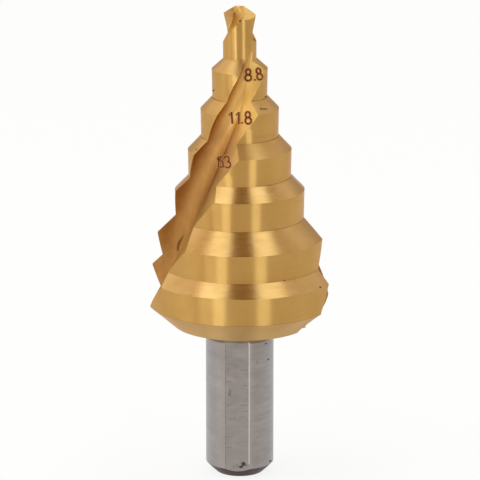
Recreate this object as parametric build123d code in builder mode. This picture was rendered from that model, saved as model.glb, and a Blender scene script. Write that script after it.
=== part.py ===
"""Step drill: one bar of tool steel with a relieved, two-flute stepped head on a three-flat shank.

Millimetres, +Z up. The origin is the centre of the shank's end face and the tip points up, as the
drill stands on its shank. Azimuths are degrees about the axis, from -Y towards +X; the drill turns
that way when it cuts. A depth is a distance below the tip.
"""

from build123d import *
from math import cos, degrees, exp, log, radians, sin, sqrt, tan
import os

# Lengths along the axis, as depths below the tip.
overall_length = 70.3
head_length = 47.43
pilot_length = 7.4

# Steps: diameter over the cutting edges, depth of the upper corner, depth of the lower end.
# A cone joins each lower end to the next upper corner.
step_diameters = [8.8, 11.8, 15.3, 19.0, 24.5, 28.2]
step_starts = [9.2, 15.1, 21.2, 27.2, 34.3, 40.15]
step_ends = [13.4, 19.2, 25.2, 31.4, 38.35, 44.15]
step_taper = 0.08
pilot_diameter = 4.85
back_diameter = 20.6

# Relief: a land is round about its own centre, which lies off the axis and ahead of the edge,
# so that its radius falls away behind the cutting edge.
relief_offset = 0.24
relief_lead = 27.5
land_lead = 14

# Main flutes. Both faces follow a spiral on the cone of the step corners. A flute runs in from
# nothing on the pilot, and its heel face stands steeper where it leaves the head.
flutes = 2
cone_slope = 0.3114
cone_apex = 5.0
edge_helix = 28.3
edge_start = 1.5
rake_hook = 11.6
rake_share = 0.12
heel_helix = 31.4
heel_start = 76
heel_lean = 38.6
heel_lean_growth = 0.48
heel_exit = 0.5
heel_exit_length = 4.43
floor_slope = 0.19
floor_apex = 2.1
flute_overshoot = 0.4
run_in_clearance = 0.4085
run_in_end = 11
flute_start = 5.2
flute_overrun = 1.97
flute_sections = 13

# Point: two flanks, and for each lip a short gash that runs out along the pilot.
point_angle = 118
flank_clearance = 29
chisel_drop = 0.385
lip_turn = -13
gash_facing = -12
gash_swing = 85
gash_swing_depth = 1.5
gash_slope = 0.36
gash_rise = 0.0035
gash_web = 0.86
gash_widening = 0.04
gash_rake = -84
gash_rake_twist = 10
gash_reach = 5
gash_lead = 0.115
gash_end = 5.6
gash_sections = 9

# Shank.
shank_diameter = 10.0
shank_flats = 3
flat_depth = 0.345
flat_azimuth = -4.5
flat_stop = 1.9
shank_chamfer = 1.5
chamfer_crown = 0.03

tip = overall_length
head_bottom = overall_length - head_length
flute_end = head_length + flute_overrun
gash_start = -(chisel_drop + gash_lead)
shank_radius = shank_diameter / 2
back_radius = back_diameter / 2
pilot_radius = pilot_diameter / 2


def at(radius, azimuth):
    """The point of a horizontal section at a radius and an azimuth."""
    angle = radians(azimuth)
    return (radius * sin(angle), -radius * cos(angle))


def cone_radius(depth):
    """Radius of the cone that the step corners follow."""
    return cone_slope * (depth + cone_apex)


def spiral_turn(depth, helix):
    """Degrees that a face has turned since the first step's corner."""
    rate = tan(radians(helix)) / cone_slope
    return degrees(rate * log(cone_radius(depth) / cone_radius(step_starts[0])))


def lean_turn(radius, depth, lean):
    """Degrees between a leaning face at a radius and the same face on the cone."""
    return degrees(tan(radians(lean)) * log(radius / cone_radius(depth)))


def edge_azimuth(radius, depth):
    """Azimuth of the rake face."""
    return edge_start - spiral_turn(depth, edge_helix) + lean_turn(radius, depth, rake_hook)


def heel_azimuth(radius, depth):
    """Azimuth of the heel face, across the flute from the rake face."""
    lean = heel_lean + heel_lean_growth * depth
    lean -= heel_exit * max(0, depth - (head_length - heel_exit_length)) ** 2
    return heel_start - spiral_turn(depth, heel_helix) + lean_turn(radius, depth, lean)


def land_section(depth, radius, edge):
    """Two lands, each an arc about its own centre."""
    lead = radians(relief_lead)
    arc_radius = sqrt(radius**2 - 2 * radius * relief_offset * cos(lead) + relief_offset**2)
    land_angle = 360 / flutes
    with BuildSketch(Plane.XY.offset(tip - depth)) as section:
        with BuildLine():
            arcs = []
            for i in range(flutes):
                front = edge + i * land_angle
                centre = Vector(*at(relief_offset, front + relief_lead))
                angles = [front + land_lead - land_angle * share for share in (0, 0.5, 1)]
                arcs.append(ThreePointArc(*[centre + Vector(*at(arc_radius, a)) for a in angles]))
            for before, after in zip(arcs, arcs[-1:] + arcs[:-1]):
                Line(before @ 1, after @ 0)
        make_face()
    return section.sketch


def step_blank(depth_from, radius_from, start, end, radius):
    """One step: the cone that leads to it and its relieved, slightly tapered land."""
    edge = edge_azimuth(radius, start)
    with BuildPart() as blank:
        add(land_section(depth_from, radius_from, edge))
        add(land_section(start, radius, edge))
        loft(ruled=True)
        add(land_section(start, radius, edge))
        add(land_section(end, radius - step_taper, edge))
        loft(ruled=True)
    return blank.part


def back_blank(start, radius):
    """The relieved cone at the back of the head."""
    edge = edge_azimuth(radius, start)
    with BuildPart() as blank:
        add(land_section(start, radius, edge))
        add(land_section(head_length, back_radius, edge))
        loft(ruled=True)
    return blank.part


def floor_radius(depth):
    """Distance from the axis to the flute's floor."""
    return floor_slope * (depth + floor_apex)


def run_in_lift(depth):
    """How far the flute is lifted off the axis where it runs in, clear of the pilot at first."""
    first_lift = pilot_radius + run_in_clearance - floor_radius(flute_start)
    share = max(0, run_in_end - depth) / (run_in_end - flute_start)
    return first_lift * share**2


def flute_section(depth):
    """The flute across the axis: rake face, round floor and flat heel face."""
    cone = cone_radius(depth)
    root = (1 - rake_share) * cone
    floor = floor_radius(depth)
    crest = (floor + cone) / 2
    lift = Vector(*at(run_in_lift(depth), edge_azimuth(root, depth)))
    rake_root = lift + Vector(*at(root, edge_azimuth(root, depth)))
    rake_edge = lift + Vector(*at(cone, edge_azimuth(cone, depth)))
    heel_root = lift + Vector(*at(floor, heel_azimuth(floor, depth)))
    heel_crest = lift + Vector(*at(crest, heel_azimuth(crest, depth)))
    heel_edge = lift + Vector(*at(cone, heel_azimuth(cone, depth)))
    reach = flute_overshoot * cone
    rake_end = rake_edge + (rake_edge - rake_root).normalized() * reach
    with BuildSketch(Plane.XY.offset(tip - depth)) as section:
        with BuildLine():
            rake = Line(rake_end, rake_root)
            TangentArc(rake_root, heel_root, tangent=rake % 1)
            heel = ThreePointArc(heel_root, heel_crest, heel_edge)
            leave = Line(heel_edge, heel_edge + heel % 1 * reach)
            Line(leave @ 1, rake_end)
        make_face()
    return section.sketch


def gash_section(depth):
    """The gash across the axis: a rake wall, and a floor that swings aside as it runs out."""
    facing = gash_facing - gash_swing * (1 - exp(-depth / gash_swing_depth))
    rake_turn = gash_rake - gash_rake_twist * depth
    foot = Vector(*at(gash_slope * depth + gash_rise * depth**3, facing))
    root = foot - Vector(*at(gash_web + gash_widening * depth**2, facing + 90))
    rake_end = root + Vector(*at(gash_reach, rake_turn))
    floor_end = root + Vector(*at(gash_reach, facing + 90))
    far = root + Vector(*at(2 * gash_reach, (rake_turn + facing + 90) / 2))
    with BuildSketch(Plane.XY.offset(tip - depth)) as section:
        with BuildLine():
            Polyline(root, rake_end, far, floor_end, root)
        make_face()
    return section.sketch


def spread(first, last, count):
    """Evenly spaced depths."""
    return [first + (last - first) * i / (count - 1) for i in range(count)]


def even_turns(first, last, count):
    """Depths between which a spiral on the cone turns by equal steps."""
    growth = (last + cone_apex) / (first + cone_apex)
    return [(first + cone_apex) * growth**share - cone_apex for share in spread(0, 1, count)]


with BuildPart() as flute:
    for depth in even_turns(flute_start, flute_end, flute_sections):
        add(flute_section(depth))
    loft()

with BuildPart() as gash:
    for depth in spread(gash_start, gash_end, gash_sections):
        add(gash_section(depth))
    loft()

with BuildPart() as step_drill:
    # The turned bar: shank with its end chamfer, and the pilot.
    with BuildSketch(Plane.XZ):
        with BuildLine():
            end = Line((0, 0), (shank_radius - shank_chamfer, 0))
            chamfered = SagittaArc(end @ 1, (shank_radius, shank_chamfer), -chamfer_crown)
            Polyline(
                chamfered @ 1,
                (shank_radius, head_bottom + shank_chamfer),
                (pilot_radius, head_bottom + shank_chamfer),
                (pilot_radius, tip + chisel_drop),
                (0, tip + chisel_drop),
                (0, 0),
            )
        make_face()
    revolve(axis=Axis.Z)

    # The steps, from the pilot down, and the cone at the back of the head.
    depth_from = pilot_length
    radius_from = pilot_radius
    for diameter, start, end in zip(step_diameters, step_starts, step_ends):
        add(step_blank(depth_from, radius_from, start, end, diameter / 2))
        depth_from = end
        radius_from = diameter / 2 - step_taper
    add(back_blank(depth_from, radius_from))

    with PolarLocations(0, flutes):
        add(flute.part, mode=Mode.SUBTRACT)

    # The point: two flanks, and a gash for each lip.
    flank_rise = tan(radians(90 - point_angle / 2))
    for side in range(flutes):
        normal = Vector(flank_rise, -tan(radians(flank_clearance)), 1)
        normal = normal.rotate(Axis.Z, lip_turn + side * 360 / flutes)
        split(bisect_by=Plane(origin=(0, 0, tip + chisel_drop), z_dir=normal), keep=Keep.BOTTOM)
    with PolarLocations(0, flutes):
        add(gash.part, mode=Mode.SUBTRACT)

    # Flats for the chuck's jaws, ground from the end of the shank.
    flat_top = head_bottom - flat_stop
    with PolarLocations(shank_radius - flat_depth, shank_flats, start_angle=flat_azimuth - 90):
        Box(
            shank_diameter,
            shank_diameter,
            flat_top,
            align=(Align.MIN, Align.CENTER, Align.MIN),
            mode=Mode.SUBTRACT,
        )

os.makedirs("parts", exist_ok=True)
step_drill.part.label = "step_drill"
export_step(step_drill.part, "parts/step_drill.step")
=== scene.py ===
import math
import random

import bmesh
import bpy
from mathutils import Matrix, Vector
from mathutils.bvhtree import BVHTree


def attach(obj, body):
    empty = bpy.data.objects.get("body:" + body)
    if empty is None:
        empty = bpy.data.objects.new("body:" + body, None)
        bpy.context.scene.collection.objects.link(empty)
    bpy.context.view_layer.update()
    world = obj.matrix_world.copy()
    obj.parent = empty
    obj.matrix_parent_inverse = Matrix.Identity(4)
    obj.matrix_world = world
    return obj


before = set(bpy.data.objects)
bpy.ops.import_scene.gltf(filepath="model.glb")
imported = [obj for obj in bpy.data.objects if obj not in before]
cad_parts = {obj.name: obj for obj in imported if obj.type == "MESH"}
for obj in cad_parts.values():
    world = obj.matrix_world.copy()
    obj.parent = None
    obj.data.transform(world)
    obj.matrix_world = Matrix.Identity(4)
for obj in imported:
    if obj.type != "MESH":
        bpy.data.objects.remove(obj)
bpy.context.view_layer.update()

scene = bpy.context.scene
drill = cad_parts["step_drill"]

MM = 0.001

# The drill in millimetres: heights above the shank's end, and radii.
TIP = 70.3
NEAR_TIP = 69.8
HEAD_BOTTOM = 22.87
FLAT_TOP = 20.97
CHAMFER_TOP = 1.5
SHANK_RADIUS = 5.0
SMALL_CONE_RADIUS = 8.0
CLOSE = 0.1

# The flutes turn about a cone whose apex lies some way above the tip. Their turn is in radians for
# each time that the distance from the apex grows by a factor of e. Their lines have their stated
# width at the middle, that far from the apex. Their colour grows paler from the first height to the
# second, a painted highlight near the tip.
CONE_APEX = 5.0
FLUTE_TURN = 1.73
FLUTE_MIDDLE = 30.0
FLUTE_HIGHLIGHT_FROM = 51.5
FLUTE_HIGHLIGHT_FULL = 55.5

# What share of a surface's facing tells its finish, from 0 to 1.
SIDEWAYS = 0.4
SLANTED = 0.4

# The colour that each finish reflects at a grazing angle.
RIM_TINT = "#f2e2d6"
# The flutes' dark brown is painted shade, for flute faces seen edge-on at the outline.
FLUTE_RIM_TINT = "#7a5230"
POINT_RIM_TINT = "#e8c896"
PLAIN_RIM = "#ffffff"

# The camera stands in front and looks down by its pitch.
PITCH = math.radians(15.25)
RANGE = 560 * MM
AIM = Vector((0.037, 0, 35.3)) * MM
LENS = 286.5


# Nodes.

def linear(code):
    """A colour written as sRGB hex, as the linear values that shaders take."""
    levels = [int(code[i:i + 2], 16) / 255 for i in (1, 3, 5)]
    return tuple(c / 12.92 if c <= 0.04045 else ((c + 0.055) / 1.055) ** 2.4 for c in levels) + (1.0,)


def add_node(tree, kind, inputs=None, **settings):
    """Adds a node: settings are its own properties, inputs its sockets by name or number."""
    node = tree.nodes.new(kind)
    for name, value in settings.items():
        setattr(node, name, value)
    for name, value in (inputs or {}).items():
        if isinstance(value, bpy.types.NodeSocket):
            tree.links.new(value, node.inputs[name])
        else:
            node.inputs[name].default_value = value
    return node


def new_material(name):
    """An empty node material and its tree."""
    material = bpy.data.materials.new(name)
    material.use_nodes = True
    material.node_tree.nodes.clear()
    return material, material.node_tree


def calculated(tree, first, operation, second):
    """Arithmetic on two numbers, each a value or a socket."""
    return add_node(tree, "ShaderNodeMath", {0: first, 1: second}, operation=operation).outputs[0]


def combined(tree, first, operation, second):
    """Arithmetic on two vectors, each a value or a socket."""
    return add_node(tree, "ShaderNodeVectorMath", {0: first, 1: second}, operation=operation).outputs[0]


def scaled(tree, vector, factor):
    """A vector times a number."""
    return add_node(tree, "ShaderNodeVectorMath", {0: vector, "Scale": factor}, operation="SCALE").outputs[0]


def place_mm(tree):
    """Where a point lies on the drill, in millimetres."""
    return scaled(tree, add_node(tree, "ShaderNodeTexCoord").outputs["Object"], 1 / MM)


def height_mm(tree, place):
    """Height above the shank's end, in millimetres."""
    return add_node(tree, "ShaderNodeSeparateXYZ", {0: place}).outputs["Z"]


def noise(tree, place, level, upright, detail=2.0, rough=0.5):
    """Noise whose grains measure so many millimetres on the level and so many upright."""
    stretched = combined(tree, place, "MULTIPLY", (1 / level, 1 / level, 1 / upright))
    inputs = {"Vector": stretched, "Scale": 1.0, "Detail": detail, "Roughness": rough}
    return add_node(tree, "ShaderNodeTexNoise", inputs).outputs["Fac"]


def ranged(tree, value, low, high, to_low, to_high, smooth=False):
    """A value moved from one range to another, and held inside it."""
    inputs = {"Value": value, "From Min": low, "From Max": high, "To Min": to_low, "To Max": to_high}
    kind = "SMOOTHSTEP" if smooth else "LINEAR"
    return add_node(tree, "ShaderNodeMapRange", inputs, interpolation_type=kind).outputs["Result"]


def spread(tree, grain, low, high):
    """The middle of a noise, moved to run from one value to another."""
    return ranged(tree, grain, 0.3, 0.7, low, high)


def mixed(tree, share, low, high):
    """A colour between two, each a hex code or a socket."""
    node = add_node(tree, "ShaderNodeMix", {"Factor": share}, data_type="RGBA")
    for place, colour in ((6, low), (7, high)):
        if isinstance(colour, str):
            node.inputs[place].default_value = linear(colour)
        else:
            tree.links.new(colour, node.inputs[place])
    return node.outputs[2]


def finish_metal(tree, colour, rough, stretch, relief, depth, edge=PLAIN_RIM):
    """A metal surface: stretch draws reflections out upright, depth is its relief in millimetres."""
    bump = add_node(tree, "ShaderNodeBump", {"Height": relief, "Strength": 1.0, "Distance": depth * MM})
    tangent = add_node(tree, "ShaderNodeTangent", direction_type="RADIAL", axis="Z")
    shader = add_node(tree, "ShaderNodeBsdfPrincipled", {
        "Base Color": colour, "Metallic": 1.0, "Roughness": rough, "Specular Tint": linear(edge),
        "Anisotropic": stretch, "Anisotropic Rotation": 0.25, "Tangent": tangent.outputs[0],
        "Normal": bump.outputs[0]})
    add_node(tree, "ShaderNodeOutputMaterial", {"Surface": shader.outputs[0]})


# Finishes of the drill. Its real tool marks are some hundredths of a millimetre apart, too fine to
# see, so their lines are drawn coarser here, and their reflection is stretched by the shader.

def ground_lands(name, dull, bright):
    """Titanium nitride on cylindrically ground steel: fine rings that stretch each reflection upwards."""
    material, tree = new_material(name)
    place = place_mm(tree)
    rings = noise(tree, place, 7.0, 0.3)
    clouds = noise(tree, place, 4.0, 6.0, 3.0)
    colour = mixed(tree, spread(tree, clouds, 0, 1), dull, bright)
    finish_metal(tree, colour, spread(tree, rings, 0.28, 0.33), 1.0, rings, 0.0006, RIM_TINT)
    return material


def turned_cones(name, low, high):
    """Titanium nitride on the turned cones, whose coarser rings comb the edges of a reflection."""
    material, tree = new_material(name)
    place = place_mm(tree)
    rings = noise(tree, place, 5.0, 0.25)
    clouds = noise(tree, place, 3.0, 3.0, 3.0)
    colour = mixed(tree, spread(tree, clouds, 0, 1), "#bf9558", "#cba065")
    finish_metal(tree, colour, spread(tree, rings, low, high), 0.5, rings, 0.005, RIM_TINT)
    return material


def along_flute(tree, place, height):
    """The place on the drill with the flutes' spiral unwound, so that a flute stands upright."""
    depth = calculated(tree, TIP + CONE_APEX, "SUBTRACT", height)
    turn = calculated(tree, calculated(tree, depth, "LOGARITHM", math.e), "MULTIPLY", FLUTE_TURN)
    unwound = add_node(tree, "ShaderNodeVectorRotate", {"Vector": place, "Angle": turn},
                       rotation_type="Z_AXIS").outputs[0]
    even = scaled(tree, unwound, calculated(tree, FLUTE_MIDDLE, "DIVIDE", depth))
    level = combined(tree, even, "MULTIPLY", (1.0, 1.0, 0.0))
    return combined(tree, level, "ADD", add_node(tree, "ShaderNodeCombineXYZ", {"Z": height}).outputs[0])


def fluted(name, dull, bright, tip_highlight):
    """Titanium nitride on a flute: cutter's lines along its spiral, and a painted highlight near the tip."""
    material, tree = new_material(name)
    place = place_mm(tree)
    height = height_mm(tree, place)
    lines = noise(tree, along_flute(tree, place, height), 0.4, 9.0)
    clouds = noise(tree, place, 2.0, 3.0, 3.0)
    flute_tone = mixed(tree, spread(tree, clouds, 0, 1), dull, bright)
    # Paler from the first height up to the second: a painted highlight near the tip.
    colour = mixed(tree, ranged(tree, height, FLUTE_HIGHLIGHT_FROM, FLUTE_HIGHLIGHT_FULL, 0, 1, True), flute_tone, tip_highlight)
    finish_metal(tree, colour, spread(tree, lines, 0.45, 0.55), 0.0, lines, 0.004, FLUTE_RIM_TINT)
    return material


def ground_point():
    """Titanium nitride on the point's flanks and gashes, ground without rings and so evenly matt."""
    material, tree = new_material("titanium_nitride_on_point")
    grain = noise(tree, place_mm(tree), 0.6, 0.6, 3.0)
    colour = mixed(tree, spread(tree, grain, 0, 1), "#c59a58", "#d4ac6c")
    finish_metal(tree, colour, spread(tree, grain, 0.38, 0.46), 0.0, grain, 0.004, POINT_RIM_TINT)
    return material


def bare_shank(name, dull, bright, streak, gilding):
    """Bare ground steel, grey and faintly streaked, with a breath of the coating above the flats."""
    material, tree = new_material(name)
    place = place_mm(tree)
    streaks = noise(tree, place, streak, 0.2, 3.0)
    clouds = noise(tree, place, 3.0, 1.5, 4.0, 0.6)
    steel = mixed(tree, spread(tree, clouds, 0, 1), dull, bright)
    gilt = ranged(tree, height_mm(tree, place), FLAT_TOP - 0.3, FLAT_TOP - 0.05, 0, gilding, True)
    colour = mixed(tree, gilt, steel, "#ab9c84")
    rough = calculated(tree, spread(tree, streaks, 0.32, 0.44), "MAXIMUM", gilt)
    finish_metal(tree, colour, rough, 0.9, streaks, 0.0025)
    return material


def dark_chamfer():
    """The turned end chamfer, coloured dark: painted shade, as it faces down towards the drill's shadow."""
    material, tree = new_material("turned_chamfer_with_painted_shade")
    rings = noise(tree, place_mm(tree), 3.0, 0.15, 3.0)
    colour = mixed(tree, spread(tree, rings, 0, 1), "#3f3131", "#544545")
    finish_metal(tree, colour, spread(tree, rings, 0.4, 0.5), 0.3, rings, 0.004)
    return material


def painted_highlight_edge():
    """A painted highlight: the thin bright line along one side of each flat, at its sharp corner."""
    material, tree = new_material("painted_highlight_on_flat_edge")
    grain = noise(tree, place_mm(tree), 0.5, 0.8, 3.0)
    colour = mixed(tree, spread(tree, grain, 0, 1), "#dad5d3", "#e8e4e2")
    finish_metal(tree, colour, spread(tree, grain, 0.3, 0.36), 0.8, grain, 0.002)
    return material


def matt_mark(name, dull, bright):
    """A laser's scorch, a pit or a scratch: speckled and matt, so that it stays dark on bright metal."""
    material, tree = new_material(name)
    speckle = noise(tree, place_mm(tree), 0.25, 0.25, 3.0)
    colour = mixed(tree, ranged(tree, speckle, 0.35, 0.65, 0, 1), dull, bright)
    shader = add_node(tree, "ShaderNodeBsdfPrincipled", {
        "Base Color": colour, "Roughness": 0.8, "Specular IOR Level": 0.1})
    add_node(tree, "ShaderNodeOutputMaterial", {"Surface": shader.outputs[0]})
    return material


# Which surface has which finish.

def surfaces_of_drill():
    """The drill's faces in groups, one for each surface of the CAD model."""
    mesh = drill.data
    parent = list(range(len(mesh.vertices)))

    def root(vertex):
        while parent[vertex] != vertex:
            parent[vertex] = parent[parent[vertex]]
            vertex = parent[vertex]
        return vertex

    for face in mesh.polygons:
        for vertex in face.vertices[1:]:
            parent[root(vertex)] = root(face.vertices[0])
    groups = {}
    for face in mesh.polygons:
        groups.setdefault(root(face.vertices[0]), []).append(face)
    return groups.values()


def slope_round_axis(group):
    """How far a surface faces round the axis instead of away from it, from 0 to 1."""
    total = sum(face.area for face in group)
    facing = 0
    for face in group:
        x, y, _ = face.center
        radius = max(math.hypot(x, y), MM / 100)
        facing += abs(face.normal.x * y - face.normal.y * x) / radius * face.area
    return facing / total


def finish_of(group):
    """The finish of one surface, told by where it lies and which way it faces."""
    corners = [drill.data.vertices[v].co / MM for face in group for v in face.vertices]
    top = max(c.z for c in corners)
    widest = max(math.hypot(c.x, c.y) for c in corners)
    upward = sum(face.normal.z * face.area for face in group) / sum(face.area for face in group)
    if top < CHAMFER_TOP + CLOSE:
        return "chamfer"
    if top < HEAD_BOTTOM + CLOSE and widest < SHANK_RADIUS + CLOSE:
        return "shank" if top > HEAD_BOTTOM - CLOSE else "flat"
    if top > NEAR_TIP:
        return "point"
    if slope_round_axis(group) > SIDEWAYS:
        # A flute face that faces down is rake, whose colours are darker: painted shade.
        return "rake" if upward < 0 else "heel"
    if upward < -SLANTED:
        return "back"
    if upward > SLANTED:
        return "small_cone" if widest < SMALL_CONE_RADIUS else "cone"
    return "land"


def dress_drill():
    """Gives each surface of the drill its finish."""
    finishes = {
        "land": ground_lands("titanium_nitride_on_lands", "#c39855", "#cca25f"),
        "cone": turned_cones("titanium_nitride_on_cones", 0.2, 0.27),
        "small_cone": turned_cones("titanium_nitride_on_small_cones", 0.36, 0.44),
        "back": ground_lands("thin_titanium_nitride", "#c09a62", "#caa66e"),
        # Each flute finish's last colour is its painted highlight near the tip.
        # The rake's darker colours are painted shade on the flute faces that face down.
        "rake": fluted("titanium_nitride_on_rake_face_with_painted_shade", "#b08046", "#c18e53", "#d6a862"),
        "heel": fluted("titanium_nitride_on_flute_floor", "#c5995d", "#d2a86c", "#e4bd70"),
        "point": ground_point(),
        "shank": bare_shank("bare_ground_shank", "#9d9897", "#a9a4a3", 5.0, 0.7),
        "flat": bare_shank("bare_ground_flat", "#9b9593", "#aca6a4", 2.0, 0.0),
        "chamfer": dark_chamfer()}
    drill.data.materials.clear()
    for finish in finishes.values():
        drill.data.materials.append(finish)
    order = list(finishes)
    for group in surfaces_of_drill():
        number = order.index(finish_of(group))
        for face in group:
            face.material_index = number


# Marks are thin shapes drawn in a plane that faces the camera, across and up in millimetres from
# the middle of the shank's end. They are pushed back onto the steel, and lie a hair above it.

SKIN = BVHTree.FromPolygons([v.co for v in drill.data.vertices], [f.vertices for f in drill.data.polygons])
LOOK = Matrix.Rotation(-PITCH, 3, "X")
STAND_OFF = 60
MARK_LIFT = 0.012
STROKE_LIFT = 0.022
SCRATCH_LIFT = 0.01
SMUDGE_LIFT = 0.008
EDGE_LIFT = 0.006
LONGEST_EDGE = 0.25
TORN_EDGE = 0.75


def on_drill(across, up, turn, lift):
    """The point met from the front and PITCH above, with that view turned about the axis."""
    view = Matrix.Rotation(math.radians(turn), 3, "Z") @ LOOK
    start = view @ Vector((across, -STAND_OFF, up)) * MM
    place, normal, _, _ = SKIN.ray_cast(start, view @ Vector((0, 1, 0)))
    return None if place is None else place + normal * lift * MM


def flat_shapes(shapes):
    """A mesh of flat shapes, each a list of corners, cut up fine enough to follow the drill."""
    flat = bmesh.new()
    for shape in shapes:
        flat.faces.new([flat.verts.new((x, y, 0)) for x, y in shape])
    bmesh.ops.triangulate(flat, faces=flat.faces[:])
    for _ in range(5):
        long_edges = [e for e in flat.edges if e.calc_length() > LONGEST_EDGE]
        if not long_edges:
            break
        bmesh.ops.subdivide_edges(flat, edges=long_edges, cuts=1)
        bmesh.ops.triangulate(flat, faces=flat.faces[:])
    return flat


def lay_on_drill(name, shapes, turn, lift, material):
    """Lays flat shapes on the drill, without what misses it or tears across a step."""
    flat = flat_shapes(shapes)
    lost = []
    for vertex in flat.verts:
        place = on_drill(vertex.co.x, vertex.co.y, turn, lift)
        if place is None:
            lost.append(vertex)
        else:
            vertex.co = place
    bmesh.ops.delete(flat, geom=lost, context="VERTS")
    torn = [f for f in flat.faces if max(e.calc_length() for e in f.edges) > TORN_EDGE * MM]
    bmesh.ops.delete(flat, geom=torn, context="FACES")
    bmesh.ops.recalc_face_normals(flat, faces=flat.faces[:])
    mesh = bpy.data.meshes.new(name)
    flat.to_mesh(mesh)
    flat.free()
    mesh.materials.append(material)
    piece = bpy.data.objects.new(name, mesh)
    scene.collection.objects.link(piece)
    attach(piece, "root")


def arc(across, up, wide, tall, start, stop):
    """Points on part of an ellipse, from one angle to another, in degrees."""
    count = max(3, round(abs(stop - start) / 20))
    angles = [math.radians(start + (stop - start) * i / count) for i in range(count + 1)]
    return [(across + wide * math.cos(a), up + tall * math.sin(a)) for a in angles]


def band(path, width):
    """A stroke of some width along a path, as four-cornered shapes."""
    sides = []
    for i, (x, y) in enumerate(path):
        x0, y0 = path[max(i - 1, 0)]
        x1, y1 = path[min(i + 1, len(path) - 1)]
        length = math.hypot(x1 - x0, y1 - y0)
        out = Vector((y0 - y1, x1 - x0)) / length * width / 2
        sides.append(((x + out.x, y + out.y), (x - out.x, y - out.y)))
    return [(a[0], a[1], b[1], b[0]) for a, b in zip(sides, sides[1:])]


# The step diameters, in stroke figures. Each figure is one unit high and centred on its place.
STROKES = {
    "1": [[(-0.2, 0.22), (0.05, 0.5), (0.05, -0.5)]],
    "3": [arc(0, 0.25, 0.21, 0.25, 150, -90) + arc(0, -0.24, 0.25, 0.26, 80, -150)],
    "5": [[(0.2, 0.5), (-0.17, 0.5), (-0.2, 0.06)] + arc(-0.02, -0.2, 0.25, 0.3, 110, -140)],
    "8": [arc(0, 0.26, 0.2, 0.24, 0, 360), arc(0, -0.24, 0.26, 0.26, 0, 360)],
    ".": [[(0, -0.5), (0, -0.36)]],
}
FIGURE_WIDTH = 0.52
STROKE_WIDTH = 0.23
HALO_WIDTH = 0.44

# Each figure's place across and up, its width and height, and its lean in degrees.
NUMBERS = {
    "number_8_8": [
        ("8", 1.22, 57.88, 0.9, 1.69, 0), (".", 2.2, 57.9, 0.5, 1.69, 0), ("8", 2.8, 58.02, 0.8, 1.69, 13)],
    "number_11_8": [
        ("1", -1.2, 51.68, 0.8, 1.7, 5), ("1", -0.2, 51.67, 0.8, 1.76, 0),
        (".", 0.33, 51.72, 0.5, 1.76, 0), ("8", 1.2, 51.66, 0.85, 1.76, 4)],
    "number_15_3": [
        ("1", -3.1, 45.35, 0.4, 1.6, 0), ("5", -2.62, 45.35, 0.55, 1.6, 0),
        (".", -2.3, 45.4, 0.4, 1.7, 0), ("3", -1.8, 45.31, 0.85, 1.7, 10)],
}


def number_shapes(figures, width):
    """The strokes of a number, as shapes of some width."""
    shapes = []
    for text, across, up, wide, tall, lean in figures:
        spin = Matrix.Rotation(math.radians(lean), 2)
        for stroke in STROKES[text]:
            path = [spin @ Vector((x * wide / FIGURE_WIDTH, y * tall)) for x, y in stroke]
            shapes += band([(across + c.x, up + c.y) for c in path], width)
    return shapes


def size_numbers():
    """The step diameters, marked by laser in both flutes: dark strokes in a halo of heat tint."""
    strokes = matt_mark("laser_mark_strokes", "#4f2410", "#7a4424")
    halo = matt_mark("laser_mark_heat_tint", "#c08a5c", "#cc965f")
    for turn, side in ((0, "front"), (180, "back")):
        for name, figures in NUMBERS.items():
            halo_shapes = number_shapes(figures, HALO_WIDTH)
            lay_on_drill(f"{name}_{side}_halo", halo_shapes, turn, MARK_LIFT, halo)
            stroke_shapes = number_shapes(figures, STROKE_WIDTH)
            lay_on_drill(f"{name}_{side}_strokes", stroke_shapes, turn, STROKE_LIFT, strokes)


# Wear, with painted shade for a dent and a painted highlight along the flats. A pit or smudge has a
# place across and up and a size, a scratch a place and a length.
HEAD_PITS = (
    (-3.8, 55.68, 0.24), (-5.62, 51.32, 0.2), (-6.26, 47.16, 0.18), (6.46, 28.19, 0.2),
    (11.68, 27.2, 0.24), (3.73, 54.83, 0.22), (0.11, 65.53, 0.36))
CRESCENT = ((1.75, 63.62), (1.84, 63.2), (2.02, 62.97), (2.25, 62.95))
DASH = ((2.92, 52.95), (4.01, 52.98))
DASH_FORK = ((2.95, 53.12), (3.3, 52.96))
FLUTE_SCUFF = (
    (-8.2, 34.85), (-8.36, 34.4), (-8.6, 33.9), (-8.85, 33.2), (-9.0, 32.4), (-9.25, 32.5),
    (-9.3, 33.1), (-9.12, 33.8), (-8.7, 34.3))
BROWN_SPOTS = ((-0.76, 66.69, 0.3), (1.91, 54.18, 0.16))
# Pits and smudges near the middle of the shank's end draw a dent as dark spots: painted shade.
SHANK_PITS_AND_DENT_SHADE = (
    (3.85, 18.86, 0.22), (4.2, 16.51, 0.2), (2.53, 16.16, 0.15), (4.56, 1.26, 0.26),
    (0.55, 0.95, 0.6), (0.3, 0.6, 0.4), (0.05, 0.5, 0.3))
SMUDGES_AND_DENT_SHADE = (
    (-0.3, 0.7, 0.5), (-0.85, 0.6, 0.4), (-1.5, 11.3, 0.5), (-1.45, 11.6, 0.5), (-1.4, 11.95, 0.4),
    (0.2, 1.1, 0.5), (0.9, 0.8, 0.5))
SCRATCHES = (
    (0.6, 15.0, 1.2), (0.9, 12.65, 0.6), (0.75, 9.73, 0.9), (0.85, 8.85, 0.75), (0.3, 7.97, 0.9),
    (-1.2, 7.75, 1.1), (-1.6, 13.25, 0.8), (-1.8, 15.0, 0.5), (-1.7, 9.7, 0.8), (-1.7, 5.0, 0.8),
    (-1.6, 3.4, 0.9))
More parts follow.
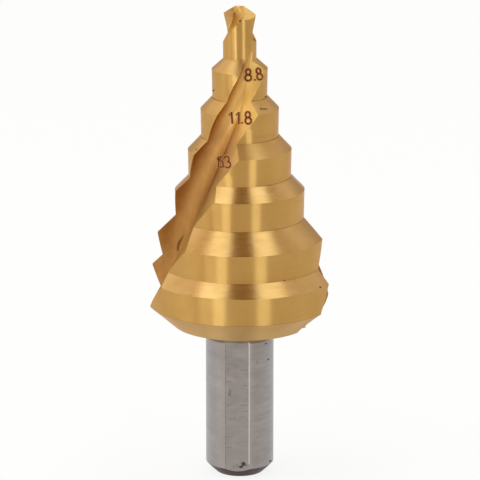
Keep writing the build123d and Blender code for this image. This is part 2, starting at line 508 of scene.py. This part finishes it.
# A painted highlight along one side of each flat, and a darker line along the other.
BRIGHT_EDGE = ((1.38, 1.0), (1.38, 19.6))
DULL_EDGE = ((-2.1, 0.9), (-2.1, 19.4))
CRESCENT_WIDTH = 0.28
DASH_WIDTH = 0.16
FORK_WIDTH = 0.1
SCRATCH_WIDTH = 0.08
BRIGHT_WIDTH = 0.11
DULL_WIDTH = 0.13
TOP_OF_PITS = 70
PITS_NARROWING = 0.25
FAR_PIT_HEIGHTS = (28, 35, 39, 44, 50, 55, 60)

chance = random.Random(7)


def blob(across, up, size):
    """The ragged outline of a pit, about a size across."""
    ragged = 0.15
    points = arc(across, up, size / 2, size / 2, 0, 315)
    return [(x + chance.uniform(-ragged, ragged) * size, y + chance.uniform(-ragged, ragged) * size)
            for x, y in points]


def blobs(places):
    """The outlines of several pits."""
    return [blob(*place) for place in places]


def scratch(across, up, length):
    """A fine scratch across a flat, as a thin shape."""
    drop = chance.uniform(-0.04, 0.04)
    return band([(across - length / 2, up), (across, up + drop), (across + length / 2, up)], SCRATCH_WIDTH)


def mark_head(pit):
    """Dark pits and brown scuffs on the front of the head."""
    scuff = matt_mark("brown_scuff", "#6e4a24", "#8a6030")
    pits = blobs(HEAD_PITS) + band(CRESCENT, CRESCENT_WIDTH)
    lay_on_drill("pits_front", pits, 0, MARK_LIFT, pit)
    scuffs = band(DASH, DASH_WIDTH) + band(DASH_FORK, FORK_WIDTH) + [FLUTE_SCUFF] + blobs(BROWN_SPOTS)
    lay_on_drill("scuffs_front", scuffs, 0, MARK_LIFT, scuff)


def mark_shank(steel_pit):
    """Front pits and smudges, some a dent's painted shade; on all three flats scratches and edge lines."""
    steel_scratch = matt_mark("scratch_in_bare_steel", "#737073", "#8a8789")
    smudge = matt_mark("smudge_and_painted_shade_on_steel", "#7e7b7c", "#949192")
    shine = painted_highlight_edge()
    # Some of these pits and smudges are a dent's painted shade.
    lay_on_drill("shank_pits_and_dent_shade_front", blobs(SHANK_PITS_AND_DENT_SHADE), 0, MARK_LIFT, steel_pit)
    lay_on_drill("smudges_and_dent_shade_front", blobs(SMUDGES_AND_DENT_SHADE), 0, SMUDGE_LIFT, smudge)
    for turn in (0, 120, 240):
        lines = [shape for place in SCRATCHES for shape in scratch(*place)]
        lay_on_drill(f"shank_scratches_{turn}", lines, turn, SCRATCH_LIFT, steel_scratch)
        # Along one side of the flat a painted highlight, along the other a darker line.
        lay_on_drill(f"painted_highlight_edge_{turn}", band(BRIGHT_EDGE, BRIGHT_WIDTH), turn, EDGE_LIFT, shine)
        lay_on_drill(f"dull_edge_{turn}", band(DULL_EDGE, DULL_WIDTH), turn, EDGE_LIFT, smudge)


def mark_far_sides(pit, steel_pit):
    """A few pits on the far sides, strewn within the head's outline and over the shank."""
    for turn in (150, 210):
        pits = []
        for up in FAR_PIT_HEIGHTS:
            half_width = (TOP_OF_PITS - up) * PITS_NARROWING
            pits.append(blob(chance.uniform(-1, 1) * half_width, up, chance.uniform(0.14, 0.24)))
        lay_on_drill(f"pits_{turn}", pits, turn, MARK_LIFT, pit)
        low = [blob(chance.uniform(-3, 3), chance.uniform(2, 20), chance.uniform(0.12, 0.24))
               for _ in range(4)]
        lay_on_drill(f"shank_pits_{turn}", low, turn, MARK_LIFT, steel_pit)


def wear_and_painted_light_on_drill():
    """Pits, scuffs, smudges, scratches, a dent's painted shade and the flats' painted highlights."""
    pit = matt_mark("dark_pit", "#2c2018", "#4c382a")
    steel_pit = matt_mark("pit_in_bare_steel", "#35302e", "#5a5450")
    mark_head(pit)
    mark_shank(steel_pit)
    mark_far_sides(pit, steel_pit)


# The studio.

def add_camera():
    """A long lens in front of the drill."""
    data = bpy.data.cameras.new("camera")
    data.lens = LENS
    camera = bpy.data.objects.new("camera", data)
    camera.location = AIM + Vector((0, -math.cos(PITCH), math.sin(PITCH))) * RANGE
    camera.rotation_euler = (math.pi / 2 - PITCH, 0, 0)
    scene.collection.objects.link(camera)
    scene.camera = camera


def white_board():
    """Matt white board, which keeps some shadow and reads as white to the eye and in reflections."""
    white_share = 0.85
    material, tree = new_material("matt_white_board")
    path = add_node(tree, "ShaderNodeLightPath")
    seen = path.outputs["Is Camera Ray"]
    for ray in ("Is Glossy Ray", "Is Transmission Ray"):
        seen = calculated(tree, seen, "MAXIMUM", path.outputs[ray])
    matt = add_node(tree, "ShaderNodeBsdfDiffuse", {"Color": linear("#f8f8f8")})
    glow = add_node(tree, "ShaderNodeEmission", {"Color": linear("#ffffff"), "Strength": 1.0})
    share = calculated(tree, seen, "MULTIPLY", white_share)
    mix = add_node(tree, "ShaderNodeMixShader", {0: share, 1: matt.outputs[0], 2: glow.outputs[0]})
    add_node(tree, "ShaderNodeOutputMaterial", {"Surface": mix.outputs[0]})
    return material


def studio_floor():
    """A plain pale floor, a hair below the drill's end so that the two don't flicker."""
    bpy.ops.mesh.primitive_plane_add(size=6)
    floor = bpy.context.object
    floor.name = "floor"
    floor.location.z = -0.02 * MM
    floor.data.materials.append(white_board())


def studio_room():
    """The room: pale behind and above the drill, dimmer and warmer in front, a window at the left."""
    world = bpy.data.worlds.new("studio")
    world.use_nodes = True
    tree = world.node_tree
    tree.nodes.clear()
    direction = add_node(tree, "ShaderNodeTexCoord").outputs["Generated"]
    facing = add_node(tree, "ShaderNodeSeparateXYZ", {0: direction}).outputs
    horizon = ranged(tree, facing["Y"], -0.7, 1.0, 0.46, 0.64)
    behind = ranged(tree, facing["Y"], -0.15, 0.2, 0.0, 0.4, True)
    above = ranged(tree, facing["Z"], 0.2, 0.6, 0.0, 1.0, True)
    ceiling = calculated(tree, behind, "MULTIPLY", above)
    window = ranged(tree, facing["X"], -0.65, -0.25, 0.3, 0.0, True)
    overhead_gap = ranged(tree, facing["Z"], 0.5, 0.9, 0.0, -0.16, True)
    level = horizon
    for share in (ceiling, window, overhead_gap):
        level = calculated(tree, level, "ADD", share)
    colour = mixed(tree, ranged(tree, facing["Y"], -0.25, 0.25, 0.0, 1.0), "#ffd598", "#ffffff")
    background = add_node(tree, "ShaderNodeBackground", {"Color": colour, "Strength": level})
    add_node(tree, "ShaderNodeOutputWorld", {"Surface": background.outputs[0]})
    scene.world = world


def softbox(name, place, turn, size, radiance):
    """A soft lamp: its place and size in metres and its turn in radians."""
    data = bpy.data.lights.new(name, "AREA")
    data.shape = "RECTANGLE"
    data.size, data.size_y = size
    data.energy = radiance * math.pi * size[0] * size[1]
    data.color = linear("#e0f4ff")[:3]
    lamp = bpy.data.objects.new(name, data)
    lamp.location = place
    lamp.rotation_euler = turn
    lamp.visible_camera = False
    scene.collection.objects.link(lamp)


def studio_lamps():
    """Two tall strips in front, two panels overhead, and a fill and a window at the left."""
    upright = math.pi / 2
    tilt = 0.35
    for side, word, strip, panel, across in ((-1, "left", 4.6, 2.0, 0.36), (1, "right", 3.6, 1.9, 0.39)):
        strip_turn = (upright, 0, side * math.radians(27))
        softbox("strip_" + word, (side * 0.454, -0.891, 0.22), strip_turn, (0.27, 0.44), strip)
        softbox("panel_" + word, (side * across, -0.1, 1.0), (0, side * tilt, 0), (0.35, 1.2), panel)
    fill_turn = (upright, 0, math.radians(-44))
    softbox("fill", (-0.695, -0.719, 0.22), fill_turn, (0.26, 0.44), 1.8)
    window_turn = (math.radians(63), 0, math.radians(-75))
    softbox("window", (-0.861, -0.231, 0.5), window_turn, (0.45, 0.4), 2.1)


dress_drill()
size_numbers()
wear_and_painted_light_on_drill()
add_camera()
studio_floor()
studio_room()
studio_lamps()
scene.view_settings.view_transform = "Standard"
